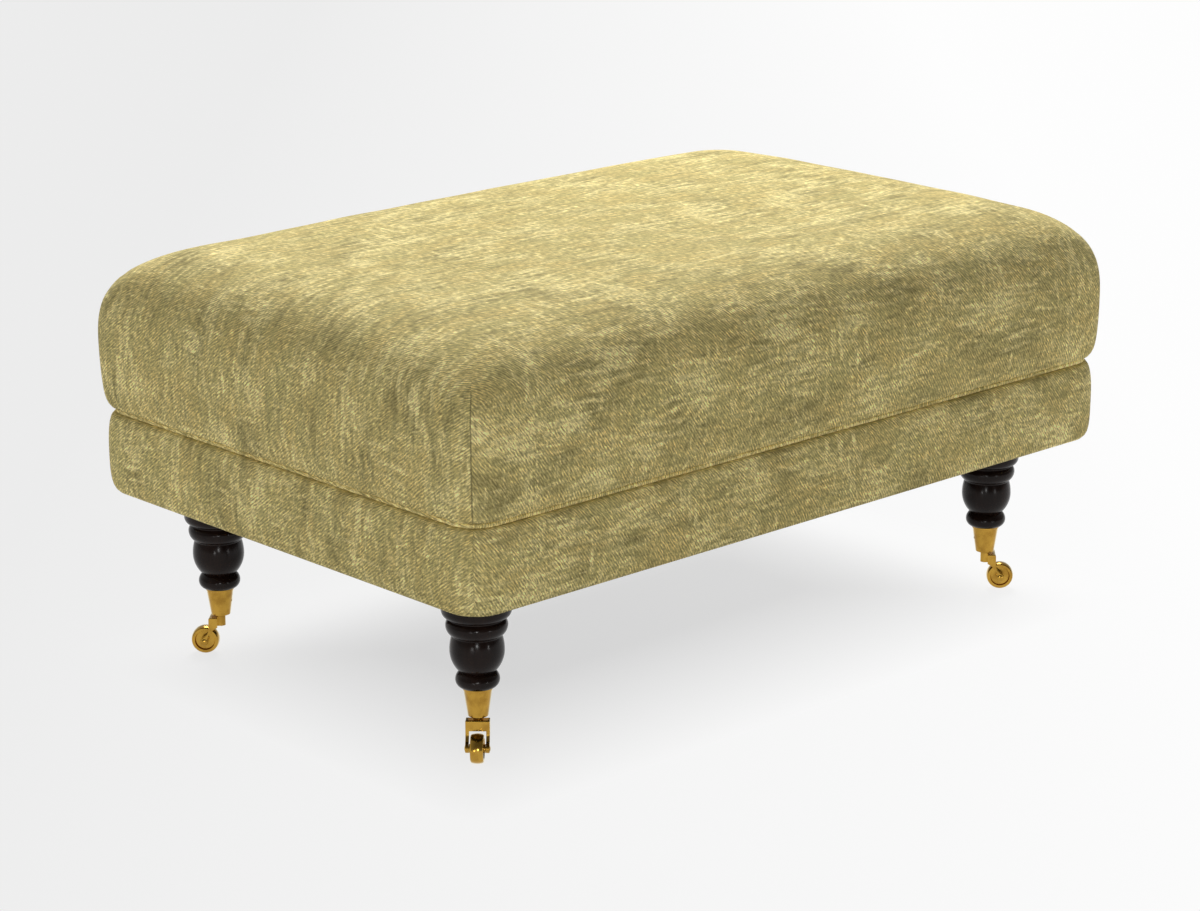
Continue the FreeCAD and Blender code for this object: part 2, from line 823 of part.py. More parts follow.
def wheel():
    """The wheel: crowned tread, bevelled rims, dished sides and a long hub."""
    tread, half = wheel_diameter / 2, wheel_width / 2
    edge = tread - wheel_crown
    shoulder = edge - wheel_edge_break
    rim_inner = edge - wheel_rim
    hub_half = horn_slot / 2 - wheel_side_gap
    hub = wheel_hub_diameter / 2
    web = half - wheel_recess
    flat = half - wheel_edge_break
    side = [
        (0, hub_half),
        (hub, hub_half),
        (hub, web),
        (rim_inner - wheel_edge_break, web),
        (rim_inner, half),
        (shoulder, half),
        (edge, flat),
    ]
    other = [(radius, -across) for radius, across in reversed(side)]
    edges = [line(a, b) for a, b in zip(side, side[1:])]
    edges.append(curve((edge, flat), (tread, 0), (edge, -flat)))
    edges += [line(a, b) for a, b in zip(other, other[1:])]
    edges.append(line((0, -hub_half), (0, hub_half)))
    bore = rod(
        axle_diameter + 2 * running_play, (0, 0, -horn_width), (0, 0, horn_width)
    )
    return aimed(turned(edges).cut(bore), (trail, 0, axle_z), (0, 1, 0))


def legs_and_castors():
    """One leg and one castor for each corner. The castors trail outwards."""
    plain_leg = leg()
    pieces = {
        "castor_cup": cup(),
        "swivel_pin": swivel_pin(),
        "castor_horn": horn(),
        "castor_axle": axle(),
        "castor_wheel": wheel(),
    }
    screws = []
    for name, (x, y) in leg_centres().items():
        sx, sy = CORNERS[name]
        turn = math.degrees(math.atan2(sy, sx))
        place = FreeCAD.Placement(
            Vector(x, y, 0), FreeCAD.Rotation(Vector(0, 0, 1), turn)
        )

        def placed(shape):
            copy = shape.copy()
            copy.Placement = place.multiply(copy.Placement)
            return copy

        screws.append(placed(cup_screw(0)))
        add("leg_" + name, placed(plain_leg.cut(cup_screw(screw_play))))
        for kind, shape in pieces.items():
            add(f"{kind}_{name}", placed(shape))
    add("cup_screws", *screws)
    add("hanger_bolts", *at_legs(hanger_bolt(0)))


def main():
    frame()
    corner_blocks()
    webbing()
    border()
    piping()
    seat()
    legs_and_castors()
    os.makedirs("parts", exist_ok=True)
    for name, shape in NODES.items():
        shape.exportStep(f"parts/{name}.step")
        solids = shape.Solids
        volume = sum(s.Volume for s in solids)
        print(f"{name}: {len(solids)} solid(s), {volume:.0f} mm3, valid {shape.isValid()}")


main()
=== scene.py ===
import math

import bpy
import numpy as np
from mathutils import Matrix, Vector


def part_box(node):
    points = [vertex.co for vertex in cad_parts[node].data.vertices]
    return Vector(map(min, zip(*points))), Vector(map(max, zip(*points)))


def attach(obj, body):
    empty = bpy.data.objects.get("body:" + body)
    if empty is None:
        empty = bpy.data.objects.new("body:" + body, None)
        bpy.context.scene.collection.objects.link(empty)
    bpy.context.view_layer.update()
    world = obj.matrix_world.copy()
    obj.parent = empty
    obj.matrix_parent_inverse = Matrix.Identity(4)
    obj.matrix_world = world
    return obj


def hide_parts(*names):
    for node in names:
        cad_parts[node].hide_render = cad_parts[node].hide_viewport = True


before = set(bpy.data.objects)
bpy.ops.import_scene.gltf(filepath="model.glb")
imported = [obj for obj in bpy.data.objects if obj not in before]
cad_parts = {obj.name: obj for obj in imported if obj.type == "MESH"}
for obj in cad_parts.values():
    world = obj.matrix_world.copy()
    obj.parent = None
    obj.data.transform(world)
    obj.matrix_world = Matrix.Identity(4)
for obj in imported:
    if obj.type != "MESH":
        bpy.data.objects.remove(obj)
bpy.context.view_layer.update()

# The four panels of a covered block, each with the way it runs: front, right, back, left
turnings = ((1, 0), (0, 1), (-1, 0), (0, -1))
# The distance to a corner seam is marked up to this value, in metres
farGap = 0.1
# Heights from a block's top, between which the cloth of its panels turns into the top's unbroken cloth
topCloth = (-0.068, -0.028)


# Numbers and arrays

def smooth(low, high, value):
    # 0 below low, 1 above high, and the cubic 3t^2 - 2t^3 in between
    t = np.clip((value - low) / (high - low), 0.0, 1.0)
    return t * t * (3.0 - 2.0 * t)


def turnIn(share, power):
    # How far a soft edge has turned in, from 0 to 1: 1 - (1 - share^power)^(1/power)
    return 1.0 - (1.0 - np.clip(share, 0.0, 1.0) ** power) ** (1.0 / power)


def bell(distance, height, place, width):
    # A rounded rise at the given place: height * exp(-((distance - place) / width)^2)
    return height * np.exp(-(((distance - place) / width) ** 2))


def unevenness(points, size, seed, waves=9):
    # A sum of sine waves of about the given size, each in a random direction, scaled to about -1 to 1
    rng = np.random.default_rng(seed)
    total = np.zeros(len(points))
    for _ in range(waves):
        direction = rng.normal(size=3)
        direction *= 2 * math.pi / (size * rng.uniform(0.7, 1.6) * np.linalg.norm(direction))
        total += np.sin(points @ direction + rng.uniform(0, 2 * math.pi))
    return total / math.sqrt(waves)


def gentleWaves(points, s, seed):
    # Long waves and half as much of shorter ones
    long, short = s["waveSizes"]
    return s["waves"] * (unevenness(points, long, seed) + 0.5 * unevenness(points, short, seed + 1))


def spacedShares(half, fine, coarse, reach):
    # Places across a panel as shares from -1 to 1. Their spacing grows from fine at a corner seam
    # to coarse at the distance reach from it; 1 / spacing is added up and divided evenly.
    samples = 4000
    away = np.linspace(0.0, half, samples)
    spacing = fine + (coarse - fine) * smooth(0.0, reach, away)
    counted = np.concatenate([[0.0], np.cumsum(np.diff(away) / spacing[1:])])
    steps = int(math.ceil(counted[-1]))
    shares = 1.0 - np.interp(np.linspace(0.0, counted[-1], steps + 1), counted, away) / half
    return np.concatenate([-shares, shares[-2::-1]])


def panelShares(s):
    # The columns of a long and of a short panel
    spacing = s["fineColumn"], s["coarseColumn"], s["fineReach"]
    return [spacedShares(half, *spacing) for half in s["panelHalves"]]


def lengthsAlong(rows):
    # The distance walked along a profile up to each of its rows
    return np.concatenate([[0.0], np.cumsum(np.hypot(*np.diff(rows[:, :2], axis=0).T))])


def evenly(rows, step):
    # Rings (inset, height, radius) along a profile, spread again at even steps of its length
    rows = np.asarray(rows, float)
    along = lengthsAlong(rows)
    places = np.linspace(0.0, along[-1], max(1, round(along[-1] / step)) + 1)
    return np.stack([np.interp(places, along, rows[:, k]) for k in range(3)], axis=1)


# Meshes

def putMesh(name, points, faces, uv=None, marks=None):
    # Whole arrays into a mesh: points (n, 3), quads (m, 4), one uv for each corner of each quad
    mesh = bpy.data.meshes.new(name)
    mesh.vertices.add(len(points))
    mesh.vertices.foreach_set("co", np.asarray(points, np.float32).ravel())
    mesh.loops.add(faces.size)
    mesh.loops.foreach_set("vertex_index", faces.ravel().astype(np.int32))
    mesh.polygons.add(len(faces))
    mesh.polygons.foreach_set("loop_start", np.arange(0, faces.size, 4, dtype=np.int32))
    mesh.update(calc_edges=True)
    if uv is not None:
        mesh.uv_layers.new(name="cloth").data.foreach_set("uv", np.asarray(uv, np.float32).ravel())
    for label, values in (marks or {}).items():
        layer = mesh.attributes.new(label, "FLOAT", "POINT")
        layer.data.foreach_set("value", np.asarray(values, np.float32))
    mesh.shade_smooth()
    piece = bpy.data.objects.new(name, mesh)
    bpy.context.scene.collection.objects.link(piece)
    return piece


def pointsOf(piece):
    points = np.zeros(len(piece.data.vertices) * 3, np.float32)
    piece.data.vertices.foreach_get("co", points)
    return points.reshape(-1, 3).astype(float)


def movePoints(piece, points):
    piece.data.vertices.foreach_set("co", np.asarray(points, np.float32).ravel())
    piece.data.update()


def pushOut(piece, heights):
    # Moves each point along its normal by its height
    mesh = piece.data
    points = np.zeros(len(mesh.vertices) * 3, np.float32)
    normals = np.zeros(len(mesh.vertices) * 3, np.float32)
    mesh.vertices.foreach_get("co", points)
    mesh.vertex_normals.foreach_get("vector", normals)
    movePoints(piece, points + normals * np.repeat(np.asarray(heights, np.float32), 3))


def markOf(piece, label):
    values = np.zeros(len(piece.data.vertices), np.float32)
    piece.data.attributes[label].data.foreach_get("value", values)
    return values.astype(float)


def setMark(piece, label, values):
    piece.data.attributes[label].data.foreach_set("value", values.astype(np.float32))


def cellCorners(grid, axis=-1):
    # The four corners of every cell of a grid, anticlockwise
    return np.stack([grid[:-1, :-1], grid[:-1, 1:], grid[1:, 1:], grid[1:, :-1]], axis=axis)


def sewnPanel(turning, share, halves, rings, core):
    # One panel of a covered block: its points, their distance to the nearest corner seam, and the
    # cloth's own place at the corners of its cells. That place is the distance walked along the
    # ring and the length of the profile below the top's edge.
    runX, runY = turning
    halfAlong, halfAcross = halves if runX else halves[::-1]
    inset, height, radius = (column[:, None] for column in rings.T)
    along = lengthsAlong(rings)
    below = (along[-1] - along)[:, None]
    straight = halfAlong - inset - radius
    reach = straight + radius * math.pi / 4
    walk = share[None, :] * reach
    angle = np.clip(np.abs(walk) - straight, 0.0, None) / np.maximum(radius, 1e-9)
    onward = np.sign(walk) * (np.minimum(np.abs(walk), straight) + radius * np.sin(angle))
    outward = halfAcross - inset - radius * (1.0 - np.cos(angle))
    x, y = runX * onward + runY * outward, runY * onward - runX * outward
    place = np.stack([x, y, height + 0 * x], axis=-1)
    down = halfAcross - core + below
    cloth = np.stack([runX * walk + runY * down, runY * walk - runX * down], axis=-1)
    if core > 0:
        # near the top the cloth runs unbroken over the corners: the reach past the flat core is
        # scaled to the length of cloth that covers it
        covered = np.divide(below, core - inset, out=np.ones_like(below), where=core - inset > 1e-6)
        past = np.clip(np.abs(place[..., :2]) - (np.array(halves) - core), 0, None)
        flat = np.abs(place[..., :2]) + past * (covered - 1)[..., None]
        unbroken = smooth(*topCloth, height - rings[-1, 1])[..., None]
        cloth = cloth * (1 - unbroken) + np.sign(place[..., :2]) * flat * unbroken
    return place[:, :-1], (reach - np.abs(walk))[:, :-1], cellCorners(cloth, axis=2)


def closingGrid(ring, edge, halves, shares, start):
    # A flat grid that closes a ring: its rim takes the ring's points, and its new points count from start
    longCount, shortCount = len(shares[0]) - 1, len(shares[1]) - 1
    grid = np.zeros((shortCount + 1, longCount + 1), int)
    grid[0, :] = ring[: longCount + 1]
    grid[:, -1] = ring[longCount : longCount + shortCount + 1]
    grid[-1, ::-1] = ring[longCount + shortCount : 2 * longCount + shortCount + 1]
    grid[1:, 0] = ring[: 2 * longCount + shortCount - 1 : -1]
    inset, height = edge[0], edge[1]
    inner = np.stack(np.meshgrid(shares[0][1:-1], shares[1][1:-1]), axis=-1) * (np.array(halves) - inset)
    inner = np.concatenate([inner, np.full(inner.shape[:2] + (1,), height)], axis=-1)
    grid[1:-1, 1:-1] = start + np.arange(inner.shape[0] * inner.shape[1]).reshape(inner.shape[:2])
    return grid, inner.reshape(-1, 3)


def coveredBlock(name, halves, rings, shares, core=0.0, looped=False):
    # A padded block in four panels sewn at the corners. Every ring (inset, height, radius) is a
    # rectangle with round corners, inset from the half sizes, and a column keeps its share of the
    # way along the ring from the middle of its panel to the corner seam. The first and last rings
    # are closed by flat grids, or joined to each other where looped.
    panels = [sewnPanel(turning, share, halves, rings, core) for turning, share in zip(turnings, shares * 2)]
    grid, gap, corners = (np.concatenate(parts, axis=1) for parts in zip(*panels))
    index = np.arange(grid.shape[0] * grid.shape[1]).reshape(grid.shape[:2])
    after = np.roll(index, -1, axis=1)
    faces = [np.stack([index[:-1], after[:-1], after[1:], index[1:]], axis=-1).reshape(-1, 4)]
    uv = [corners.reshape(-1, 4, 2)]
    points, gap = grid.reshape(-1, 3), gap.ravel()
    if looped:
        faces.append(np.stack([index[-1], after[-1], after[0], index[0]], axis=-1))
        uv.append(points[faces[-1]][..., :2])
    closedRows = () if looped else (0, -1)
    for row in closedRows:
        closing, inner = closingGrid(index[row], rings[row], halves, shares, len(points))
        points = np.concatenate([points, inner])
        gap = np.concatenate([gap, np.full(len(inner), farGap)])
        quads = cellCorners(closing).reshape(-1, 4)
        faces.append(quads if row else quads[:, ::-1])
        uv.append(points[faces[-1]][..., :2])
    marks = {"seamGap": np.minimum(gap, farGap)}
    return putMesh(name, points, np.concatenate(faces), np.concatenate(uv), marks)


# Shader nodes

def joinUp(tree, node, values):
    # Each value is a number or colour, or a socket to link from
    for name, value in values.items():
        if isinstance(value, bpy.types.NodeSocket):
            tree.links.new(value, node.inputs[name])
        else:
            node.inputs[name].default_value = value


def put(tree, kind, values=None, **settings):
    # A node with its settings and the values of its inputs
    node = tree.nodes.new(kind)
    for name, setting in settings.items():
        setattr(node, name, setting)
    joinUp(tree, node, values or {})
    return node


def calc(tree, operation, first, second=0.0, third=0.0):
    return put(tree, "ShaderNodeMath", {0: first, 1: second, 2: third}, operation=operation).outputs[0]


def plus(tree, first, second):
    return calc(tree, "ADD", first, second)


def times(tree, first, second):
    return calc(tree, "MULTIPLY", first, second)


def remap(tree, value, low, high, newLow=0.0, newHigh=1.0, soft=True):
    kind = "SMOOTHSTEP" if soft else "LINEAR"
    values = {"Value": value, "From Min": low, "From Max": high, "To Min": newLow, "To Max": newHigh}
    return put(tree, "ShaderNodeMapRange", values, interpolation_type=kind).outputs["Result"]


def stretched(tree, vector, scale, turn=0.0):
    values = {"Vector": vector, "Rotation": (0.0, 0.0, turn), "Scale": scale}
    return put(tree, "ShaderNodeMapping", values).outputs["Vector"]


def noise(tree, vector, scale=1.0, detail=2.0, rough=0.5, bend=0.0):
    values = {"Vector": vector, "Scale": scale, "Detail": detail, "Roughness": rough, "Distortion": bend}
    return put(tree, "ShaderNodeTexNoise", values).outputs["Fac"]


def blendColour(tree, amount, first, second, kind="MIX"):
    node = put(tree, "ShaderNodeMix", {"Factor": amount}, data_type="RGBA", blend_type=kind)
    for socket, value in ((node.inputs[6], first), (node.inputs[7], second)):
        if isinstance(value, bpy.types.NodeSocket):
            tree.links.new(value, socket)
        else:
            socket.default_value = (*value, 1.0)
    return node.outputs[2]


def greyOf(tree, tone):
    values = {"Red": tone, "Green": tone, "Blue": tone}
    return put(tree, "ShaderNodeCombineColor", values).outputs["Color"]


def bumpOf(tree, height, strength, distance):
    values = {"Strength": strength, "Distance": distance, "Height": height}
    return put(tree, "ShaderNodeBump", values).outputs["Normal"]


def alongWay(tree, vector, way):
    # How far a vector goes in a direction: their dot product
    return put(tree, "ShaderNodeVectorMath", {0: vector, 1: way}, operation="DOT_PRODUCT").outputs["Value"]


def objectPlace(tree):
    return put(tree, "ShaderNodeTexCoord").outputs["Object"]


def newGroup(name, inputs, outputs):
    group = bpy.data.node_groups.new(name, "ShaderNodeTree")
    kinds = {"vector": "NodeSocketVector", "number": "NodeSocketFloat"}
    for label, kind, value in inputs:
        socket = group.interface.new_socket(label, in_out="INPUT", socket_type=kinds[kind])
        if value is not None:
            socket.default_value = value
    for label in outputs:
        group.interface.new_socket(label, in_out="OUTPUT", socket_type=kinds["number"])
    start, end = group.nodes.new("NodeGroupInput"), group.nodes.new("NodeGroupOutput")
    return group, start.outputs, end


def newMaterial(name):
    material = bpy.data.materials.new(name)
    material.use_nodes = True
    tree = material.node_tree
    return material, tree, tree.nodes["Principled BSDF"]


def useGroup(tree, group, values):
    return put(tree, "ShaderNodeGroup", values, node_tree=group).outputs


def slubClothGroup():
    # A slubbed velvet: soft pale and dark patches drawn out along the threads, with uneven edges, over
    # fine threads both ways and a fine slanting twill. The vector is the cloth's own place in metres.
    group, given, end = newGroup(
        "slubCloth",
        [("Cloth", "vector", None), ("Twill Pitch", "number", 0.0030), ("Twill Slant", "number", 0.63)],
        ["Pale", "Dark", "Warm", "Thread", "Relief"],
    )
    cloth = given["Cloth"]
    parts = put(group, "ShaderNodeSeparateXYZ", {"Vector": cloth}).outputs
    slantCos = calc(group, "COSINE", given["Twill Slant"])
    slantSin = calc(group, "SINE", given["Twill Slant"])
    # across and along the twill: (x cos + y sin, y cos - x sin)
    leaning = plus(group, times(group, parts["X"], slantCos), times(group, parts["Y"], slantSin))
    running = calc(group, "SUBTRACT", times(group, parts["Y"], slantCos), times(group, parts["X"], slantSin))
    slanted = put(group, "ShaderNodeCombineXYZ", {"X": leaning, "Y": running}).outputs["Vector"]
    acrossThreads = noise(group, stretched(group, cloth, (70, 480, 1)), rough=0.6)
    downThreads = noise(group, stretched(group, cloth, (480, 70, 1)), rough=0.6)
    grain = noise(group, stretched(group, slanted, (540, 130, 1)), rough=0.6)
    fleck = noise(group, stretched(group, cloth, (230, 260, 1)), detail=1)
    # the sum of the threads, the grain and the flecks, each about 0.5 in the mean, centred on nought
    fine = plus(group, plus(group, acrossThreads, downThreads), plus(group, grain, fleck))
    fine = calc(group, "SUBTRACT", fine, 2.0)
    # each patch is a cluster of streaks along the threads, 0.55 streak + 0.45 cloud, with an edge that
    # the fine threads make uneven. The first two are pale and the last is dark.
    patchScales = (
        ((26, 140, 1), (11, 17, 5), 0.46, 0.66),
        ((130, 28, 7), (13, 11, 8), 0.50, 0.69),
        ((20, 100, 3), (10, 15, 4), 0.46, 0.66),
    )
    patches = []
    for streakScale, cloudScale, low, high in patchScales:
        streak = noise(group, stretched(group, cloth, streakScale), detail=3, rough=0.6, bend=0.3)
        cloud = noise(group, stretched(group, cloth, cloudScale))
        soft = calc(group, "MULTIPLY_ADD", streak, 0.55, times(group, cloud, 0.45))
        patches.append(remap(group, calc(group, "MULTIPLY_ADD", fine, 0.05, soft), low, high))
    pale = calc(group, "MAXIMUM", patches[0], patches[1])
    warm = remap(group, noise(group, stretched(group, cloth, (14, 30, 2))), 0.32, 0.68)
    # the twill is a wave across its lines, cos(2 pi across / pitch), broken up by noise
    wobble = times(group, noise(group, stretched(group, cloth, (160, 160, 1))), 1.1)
    phase = plus(group, calc(group, "DIVIDE", leaning, given["Twill Pitch"]), wobble)
    twill = calc(group, "COSINE", times(group, phase, 2 * math.pi))
    # thread = 0.36 twill + 3.6 grain + 0.8 fine - 1.8
    thread = calc(group, "MULTIPLY_ADD", grain, 3.6, times(group, fine, 0.8))
    thread = calc(group, "MULTIPLY_ADD", twill, 0.36, thread)
    thread = calc(group, "SUBTRACT", thread, 1.8)
    relief = plus(group, times(group, thread, 0.6), times(group, pale, 0.4))
    joinUp(group, end, {"Pale": pale, "Dark": patches[2], "Warm": warm, "Thread": thread, "Relief": relief})
    return group


def coverMaterial(name, cloth, lift, turn, shift, seamShare):
    # Olive-gold slub velvet. The corner seam shows as a fine dark line, as strongly as seamShare says.
    material, tree, shader = newMaterial(name)
    place = put(tree, "ShaderNodeUVMap", uv_map="cloth").outputs["UV"]
    laid = {"Vector": place, "Location": shift, "Rotation": (0, 0, turn)}
    place = put(tree, "ShaderNodeMapping", laid).outputs["Vector"]
    twill = {"Twill Pitch": cloth["twillPitch"], "Twill Slant": cloth["twillSlant"]}
    weave = useGroup(tree, slubCloth, {"Cloth": place, **twill})
    ground = blendColour(tree, weave["Warm"], cloth["ground"], cloth["groundWarm"])
    ground = blendColour(tree, times(tree, weave["Dark"], cloth["darkShare"]), ground, cloth["dark"])
    ground = blendColour(tree, times(tree, weave["Pale"], cloth["paleShare"]), ground, cloth["pale"])
    # the threads lighten and darken it by exp(thread * share) * lift; a lift above 1 paints the whole piece
    # lighter, as painted light
    tone = calc(tree, "EXPONENT", times(tree, weave["Thread"], cloth["threadShare"]))
    toned = blendColour(tree, 1.0, ground, greyOf(tree, times(tree, tone, lift)), "MULTIPLY")
    if seamShare:
        gap = put(tree, "ShaderNodeAttribute", attribute_name="seamGap").outputs["Fac"]
        line = remap(tree, gap, *cloth["seamLine"], 1.0, 0.0)
        toned = blendColour(tree, times(tree, line, seamShare), toned, cloth["seam"])
    look = {
        "Base Color": toned,
        "Normal": bumpOf(tree, weave["Relief"], cloth["bump"], cloth["bumpDepth"]),
        "Roughness": 0.9,
        "Sheen Weight": cloth["sheen"],
        "Sheen Roughness": 0.45,
        "Sheen Tint": (1.0, 0.93, 0.62, 1.0),
        "Specular IOR Level": 0.2,
    }
    joinUp(tree, shader, look)
    return material


slubCloth = slubClothGroup()
clothLook = {
    "ground": (0.562, 0.476, 0.190),
    "groundWarm": (0.634, 0.508, 0.196),
    "dark": (0.345, 0.287, 0.112),
    "pale": (0.92, 0.79, 0.365),
    "seam": (0.10, 0.085, 0.035),
    "seamLine": (0.0003, 0.0014),
    "darkShare": 0.90,
    "paleShare": 0.90,
    "threadShare": 0.60,
    "twillPitch": 0.0030,
    "twillSlant": 0.63,
    "bump": 0.35,
    "bumpDepth": 0.0006,
    "sheen": 0.06,
}
# The border's and the piping's copies of the same cloth are painted lighter by their lift, 1.03 and 1.18:
# painted light, as if they caught more light than the seat
seatVelvet = coverMaterial("seatVelvet", clothLook, 1.0, 0.0, (0.0, 0.0, 0.0), seamShare=0.62)
borderVelvet = coverMaterial("borderVelvet", clothLook, 1.03, 0.0, (0.61, 0.37, 0.0), seamShare=0.16)
pipingVelvet = coverMaterial("pipingVelvet", clothLook, 1.18, math.pi / 4, (0.23, 0.11, 0.0), seamShare=0.0)
print("stage: cloth materials")


# Seat cushion: foam wrapped in wadding, a cover in four panels and a top, sewn at the corners

seatLow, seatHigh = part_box("seat_cover")
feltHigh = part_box("platform_felt")[1]
# Each bell is (height, place, width). The rises are heights above footHeight, between which a
# relief grows to its full strength or, after that, fades.
seatCushion = {
    "topHeight": 0.4720,
    "widestHeight": 0.3559,
    "footHeight": 0.286,
    "lowerTuck": 0.0155,
    "lowerPower": 2.6,
    "edgeReach": 0.159,
    "edgePower": 3.43,
    "cornerRadius": 0.0446,
    "shoulderRadius": 0.0154,
    "cornerDrop": 0.0083,
    "panelHalves": (0.487, 0.321),
    "ringStep": 0.0055,
    "underStep": 0.03,
    "fineColumn": 0.0014,
    "coarseColumn": 0.0072,
    "fineReach": 0.055,
    "seamTop": 0.424,
    "seamFade": (-0.010, 0.006),
    "valley": (-0.0009, 0.0, 0.0035),
    "valleyRise": 0.010,
    "shoulder": (0.0007, 0.010, 0.006),
    "shoulderRise": 0.014,
    "dart": (-0.0007, 1.0, 0.16),
    "dartAcross": 0.013,
    "dartHigh": 0.017,
    "dartFade": (-0.004, 0.006),
    "waves": 0.0007,
    "waveSizes": (0.21, 0.09),
    "waveRise": (0.006, 0.044),
    "puckers": 0.00030,
    "puckerSize": 0.026,
    "puckerRise": (0.006, 0.008, 0.030),
    "seamLineFade": 0.25,
    "seamLineFoot": 0.002,
}


def seatRings(s):
    # Lowest first: the flat that lies on the felt, a step over the piping's flange, the sides, the
    # widest ring, and the top's round edge, a superellipse in section that ends at the flat core.
    # The plan's corners are a little rounder at the shoulder than the widest ring's.
    rest = feltHigh.z + 0.0001
    widest, radius = s["widestHeight"], s["cornerRadius"]
    under = [(s["edgeReach"], rest, 0.0), (0.060, rest, 0.008), (0.0275, rest, 0.014)]
    step = [(0.0268, rest + 0.0006, 0.0145), (0.0262, 0.2878, 0.015)]
    step += [(0.0250, 0.2886, 0.016), (0.0200, 0.2899, 0.022)]
    turned = np.sin(np.linspace(math.pi / 2, 0.0, 200))
    lower = s["lowerTuck"] * turnIn(turned, s["lowerPower"])
    sides = np.stack([lower, widest - turned * (widest - seatLow.z), radius - lower], axis=1)
    angle = np.linspace(0.0, math.pi / 2, 400)
    kept = np.cos(angle) ** (2 / s["edgePower"])
    lift = np.sin(angle) ** (2 / s["edgePower"])
    rounded = radius * kept + s["shoulderRadius"] * 4 * kept * (1 - kept)
    edge = np.stack([s["edgeReach"] * (1 - kept), widest + lift * (s["topHeight"] - widest), rounded], axis=1)
    edge[-1] = (s["edgeReach"], s["topHeight"], 0.0)
    outside = evenly(np.concatenate([sides, edge[1:]]), s["ringStep"])
    return np.concatenate([evenly(under, s["underStep"]), np.array(step), outside])


def seatRelief(s, points, gap):
    # Heights above the plain cushion: the corner seams, the dart over each, waves and puckers
    high, foot, seamTop = points[:, 2], s["footHeight"], s["seamTop"]
    sewn = 1 - smooth(seamTop + s["seamFade"][0], seamTop + s["seamFade"][1], high)
    valley = bell(gap, *s["valley"]) * sewn * smooth(foot, foot + s["valleyRise"], high)
    shoulder = bell(gap, *s["shoulder"]) * sewn * smooth(foot, foot + s["shoulderRise"], high)
    # the little dart that ends the seam: a shallow arch over its top
    arch = np.hypot(gap / s["dartAcross"], (high - seamTop) / s["dartHigh"])
    dart = bell(arch, *s["dart"]) * smooth(seamTop + s["dartFade"][0], seamTop + s["dartFade"][1], high)
    waves = gentleWaves(points, s, 11) * smooth(foot + s["waveRise"][0], foot + s["waveRise"][1], high)
    grown, kept, gone = (foot + rise for rise in s["puckerRise"])
    puckers = s["puckers"] * unevenness(points, s["puckerSize"], 13)
    puckers = puckers * smooth(foot, grown, high) * (1 - smooth(kept, gone, high))
    return valley + shoulder + dart + waves + puckers


def makeSeat(s):
    halves = (seatHigh.x, seatHigh.y)
    piece = coveredBlock("seatCushion", halves, seatRings(s), panelShares(s), core=s["edgeReach"])
    points, gap = pointsOf(piece), markOf(piece, "seamGap")
    # the crown: every edge is highest at its middle, and the top falls away towards the corners
    lift = np.clip((points[:, 2] - s["widestHeight"]) / (s["topHeight"] - s["widestHeight"]), 0, 1)
    awayX, awayY = (points[:, 0] / seatHigh.x) ** 2, (points[:, 1] / seatHigh.y) ** 2
    points[:, 2] -= s["cornerDrop"] * awayX * awayY * lift
    movePoints(piece, points)
    pushOut(piece, seatRelief(s, points, gap))
    # the seam's dark line thins out above the seam and ends at the foot
    aboveSeam = np.clip(points[:, 2] - s["seamTop"], 0, None)
    belowFoot = np.clip(s["footHeight"] + s["seamLineFoot"] - points[:, 2], 0, None)
    setMark(piece, "seamGap", gap + aboveSeam * s["seamLineFade"] + belowFoot)
    piece.data.materials.append(seatVelvet)
    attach(piece, "stool")
    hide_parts("seat_cover", "seat_wadding", "seat_foam")


makeSeat(seatCushion)
print("stage: seat cushion")


# Border: the padded band round the frame, turned under the rails

borderLow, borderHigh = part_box("border_cover")
railLow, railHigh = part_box("front_rail")
borderBand = {
    "waist": 0.42,
    "topTuck": 0.011,
    "bottomTuck": 0.013,
    "bottomRoll": 0.0026,
    "power": 3.0,
    "cornerRadius": 0.042,
    "smallRadius": 0.009,
    "wallMiddle": 0.24,
    "hemReach": 0.021,
    "panelHalves": (0.482, 0.316),
    "ringStep": 0.0050,
    "fineColumn": 0.0014,
    "coarseColumn": 0.0072,
    "fineReach": 0.055,
    "valley": (-0.0003, 0.0, 0.0030),
    "shoulder": (0.0004, 0.009, 0.005),
    "waves": 0.0005,
    "waveSizes": (0.19, 0.08),
    "puckers": 0.00025,
    "puckerSize": 0.024,
    "puckerRise": (-0.022, -0.004),
    "skinDepth": 0.0145,
    "skinFade": 0.003,
    "cornerSkin": 0.027,
    "lowFade": (-0.001, 0.006),
    "highFade": 0.005,
    "hiddenGap": 0.002,
}


def borderRings(s):
    # Round the section: out along the underside, up the bulging side, in over the top and down
    # inside against the rails, and in again under them
    low, high, roll = borderLow.z, borderHigh.z, s["bottomRoll"]
    middle = low + s["waist"] * (high - low)
    turned = np.sin(np.linspace(-math.pi / 2, math.pi / 2, 400))
    tuck = np.where(turned > 0, s["topTuck"], s["bottomTuck"]) * turnIn(np.abs(turned), s["power"])
    reach = np.where(turned > 0, high - middle, middle - low + roll)
    radius = np.maximum(s["cornerRadius"] - tuck, s["smallRadius"])
    side = np.stack([tuck, middle + turned * reach, radius], axis=1)
    wall = borderHigh.x - railHigh.x - 0.0002
    hem = wall + s["hemReach"]
    under = [(hem, low, 0.004), (0.028, low, 0.012), (0.0182, low - 0.0001, 0.022)]
    under += [(0.0172, low - 0.4 * roll, 0.023), (0.0156, low - 0.85 * roll, 0.025)]
    top = [(0.0135, high - 0.0002, 0.028), (wall, high - 0.0006, 0.018)]
    back = [(wall, s["wallMiddle"], 0.018), (wall, railLow.z - 0.0001, 0.018)]
    back += [(wall + 0.008, railLow.z - 0.0001, 0.012), (hem, railLow.z - 0.0001, 0.004)]
    return np.concatenate([under, evenly(side, s["ringStep"]), top, back])


